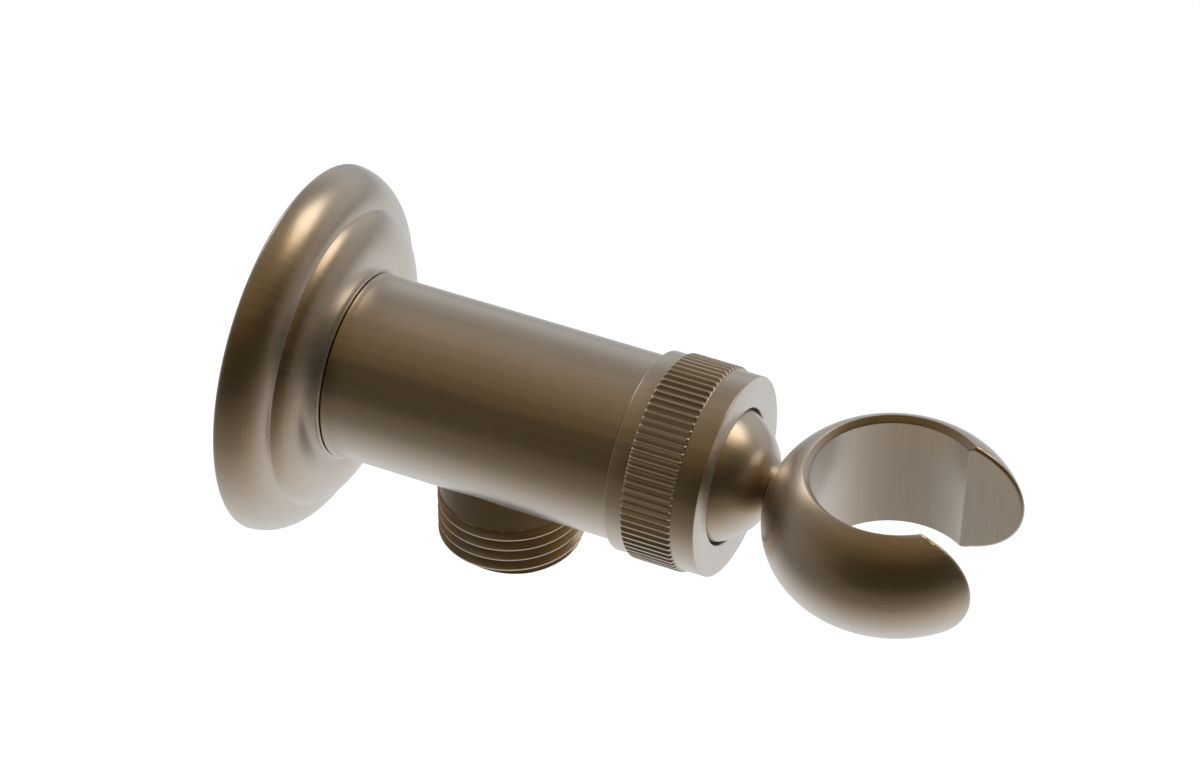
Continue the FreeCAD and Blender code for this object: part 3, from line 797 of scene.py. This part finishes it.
black_rubber = grained("black_rubber", (0.012, 0.012, 0.012, 1), (0.02, 0.02, 0.02, 1), 0.6)
grey_gasket = grained("grey_gasket", (0.16, 0.16, 0.16, 1), (0.22, 0.22, 0.21, 1), 0.7)
black_plastic = grained("black_plastic", (0.015, 0.014, 0.013, 1), (0.025, 0.024, 0.022, 1), 0.4)
white_plastic = grained("white_plastic", (0.72, 0.72, 0.7, 1), (0.8, 0.8, 0.78, 1), 0.4)
bright_steel = grained("bright_steel", (0.5, 0.5, 0.49, 1), (0.62, 0.62, 0.6, 1), 0.3, 1.0, 900.0)
finishes = {
    "wall_gasket": grey_gasket,
    "flange_grip_ring": black_rubber,
    "inlet_washer": black_rubber,
    "outlet_ring": black_rubber,
    "check_valve_ring": black_rubber,
    "check_valve_seal": black_rubber,
    "check_valve_housing": white_plastic,
    "check_valve_poppet": white_plastic,
    "check_valve_guide": white_plastic,
    "check_valve_spring": bright_steel,
    "front_friction_ring": black_plastic,
    "rear_ball_seat": black_plastic,
    "thrust_washer": bright_steel,
    "disc_spring": bright_steel,
    "joint_stud": bright_steel,
}
for node, material in finishes.items():
    dress(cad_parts[node], material)


# Stage, in metres
FLOOR_DEPTH = 0.55
FLOOR_REACH = 6
POOL_CENTRE = (0.9, -0.2)
POOL_INNER = 0.8
POOL_OUTER = 2.0
POOL_GLOW = 0.39
SEEN_GLOW = 0.85
CAMERA_PLACE = (-0.47726, -0.27008, 0.44282)
CAMERA_TURN = tuple(math.radians(angle) for angle in (50.53, 0, -64.87))


def make_floor():
    """A pale floor far below, with a pool of light that the metal shows."""
    form = bmesh.new()
    bmesh.ops.create_grid(
        form,
        x_segments=1,
        y_segments=1,
        size=FLOOR_REACH,
        matrix=Matrix.Translation((0, 0, -FLOOR_DEPTH)),
    )
    mesh = bpy.data.meshes.new("floor")
    form.to_mesh(mesh)
    form.free()
    floor = bpy.data.objects.new("floor", mesh)
    bpy.context.scene.collection.objects.link(floor)
    material, shade = new_material("pale_floor")
    seen = shade.node("ShaderNodeLightPath", None, None, "Is Camera Ray")
    mirrored = shade.node("ShaderNodeLightPath", None, None, "Is Glossy Ray")
    place = shade.node("ShaderNodeTexCoord", None, None, "Object")
    east, north = (
        shade.node("ShaderNodeSeparateXYZ", None, {0: place}, axis) for axis in range(2)
    )
    east, north = east - POOL_CENTRE[0], north - POOL_CENTRE[1]
    reach = shade.maths("SQRT", east * east + north * north)
    pool = reach.spread(POOL_INNER, POOL_OUTER, POOL_GLOW, 0.0)
    glow = seen * SEEN_GLOW + mirrored * pool
    matt = shade.node("ShaderNodeBsdfDiffuse", None, {"Color": (0.8, 0.8, 0.8, 1)})
    white = shade.node("ShaderNodeEmission", None, {"Color": (1, 1, 1, 1), "Strength": glow})
    surface = shade.node("ShaderNodeAddShader", None, {0: matt, 1: white})
    shade.node("ShaderNodeOutputMaterial", None, {"Surface": surface})
    mesh.materials.append(material)


def add_lamp(name, heading, height, size, glare, colour=(1, 1, 1), distance=1.0):
    """A soft square lamp, aimed at the object from a heading and height in degrees."""
    lamp = bpy.data.lights.new(name, "AREA")
    lamp.shape = "SQUARE"
    lamp.size = size
    lamp.energy = glare * math.pi * size * size
    lamp.color = colour
    holder = bpy.data.objects.new(name, lamp)
    bpy.context.scene.collection.objects.link(holder)
    heading, height = math.radians(heading), math.radians(height)
    level = math.cos(height)
    away = Vector((level * math.cos(heading), level * math.sin(heading), math.sin(height)))
    holder.location = Vector((0, -0.05, 0)) + distance * away
    holder.rotation_euler = away.to_track_quat("Z", "Y").to_euler()


def set_world():
    """White behind the object, and round it a dim room with a pale far side and ceiling."""
    world = bpy.data.worlds.new("studio")
    bpy.context.scene.world = world
    world.use_nodes = True
    world.node_tree.nodes.clear()
    shade = Shade(world.node_tree)
    seen = shade.node("ShaderNodeLightPath", None, None, "Is Camera Ray")
    way = shade.node("ShaderNodeTexCoord", None, None, "Generated")
    far_side = shade.node(
        "ShaderNodeVectorMath", {"operation": "DOT_PRODUCT"}, {0: way, 1: (0.985, -0.17, 0)}, 1
    )
    north, height = (shade.node("ShaderNodeSeparateXYZ", None, {0: way}, axis) for axis in "YZ")
    glow = 0.05 + far_side.spread(-0.15, 1.0, 0.0, 0.4) * height.spread(0.1, 0.8, 1.0, 0.3)
    glow = glow + height.spread(0.5, 1.0, 0.0, 0.2) + north.spread(0.1, 1.0, 0.0, 0.2)
    warm, white = (1, 0.98, 0.95, 1), (1, 1, 1, 1)
    room = shade.node("ShaderNodeBackground", None, {"Color": warm, "Strength": glow})
    backdrop = shade.node("ShaderNodeBackground", None, {"Color": white, "Strength": 1.0})
    surface = shade.node("ShaderNodeMixShader", None, {0: seen, 1: room, 2: backdrop})
    shade.node("ShaderNodeOutputWorld", None, {"Surface": surface})


def set_camera():
    lens = bpy.data.cameras.new("camera")
    lens.lens = 150
    lens.sensor_width = 36
    lens.sensor_fit = "HORIZONTAL"
    camera = bpy.data.objects.new("camera", lens)
    bpy.context.scene.collection.objects.link(camera)
    camera.location = CAMERA_PLACE
    camera.rotation_euler = CAMERA_TURN
    bpy.context.scene.camera = camera


make_floor()
set_world()
add_lamp("key", heading=-37, height=50, size=0.52, glare=2.3, colour=(1, 0.99, 0.97))
add_lamp("rim", heading=64, height=38, size=0.34, glare=1.7)
set_camera()
bpy.context.scene.view_settings.view_transform = "Standard"
